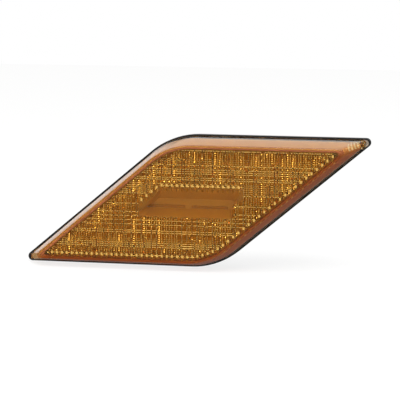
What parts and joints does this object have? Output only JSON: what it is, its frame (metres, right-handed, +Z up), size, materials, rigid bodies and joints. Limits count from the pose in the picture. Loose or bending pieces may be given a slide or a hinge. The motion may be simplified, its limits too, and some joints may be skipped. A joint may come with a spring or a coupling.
{
  "type": "vehicle side turn signal lamp",
  "caption": "Slanted four-sided amber side turn signal lamp with a finely ridged lens face, a clear light window, a black housing and a rear connector inlet.",
  "frame": {"origin": "middle of the lamp's outline on the plane where the gasket's rear face meets the body panel", "axes": "+X along the lamp's long sides, to the right seen from outside the vehicle; +Y through the panel, into the vehicle; +Z up"},
  "size_m": [0.1864, 0.0481, 0.0706],
  "materials": {
    "lens": "clear amber, glossy",
    "housing": "black, fine satin",
    "gasket": "closed-cell foam",
    "reflector": "amber-brown, satin",
    "board": "white solder mask",
    "led": "moulded resin",
    "electronics": "moulded black",
    "can": "drawn",
    "terminal": "tinned",
    "steel": "zinc plated",
    "vent": "grey, matt"
  },
  "bodies": {
    "root": {"lens": "lens", "housing": "housing", "gasket": "gasket", "reflector_tray": "reflector", "circuit_board": "board", "led_1": "led", "led_2": "led", "led_3": "led", "led_4": "led", "led_5": "led", "led_6": "led", "driver_chip": "electronics", "resistor_1": "electronics", "resistor_2": "electronics", "resistor_3": "electronics", "resistor_4": "electronics", "input_diode": "electronics", "capacitor": "can", "terminal_1": "terminal", "terminal_2": "terminal", "terminal_3": "terminal", "board_screw_1": "steel", "board_screw_2": "steel", "board_screw_3": "steel", "board_screw_4": "steel", "stud_1": "steel", "stud_2": "steel", "vent_cap": "vent"}
  },
  "joints": []
}
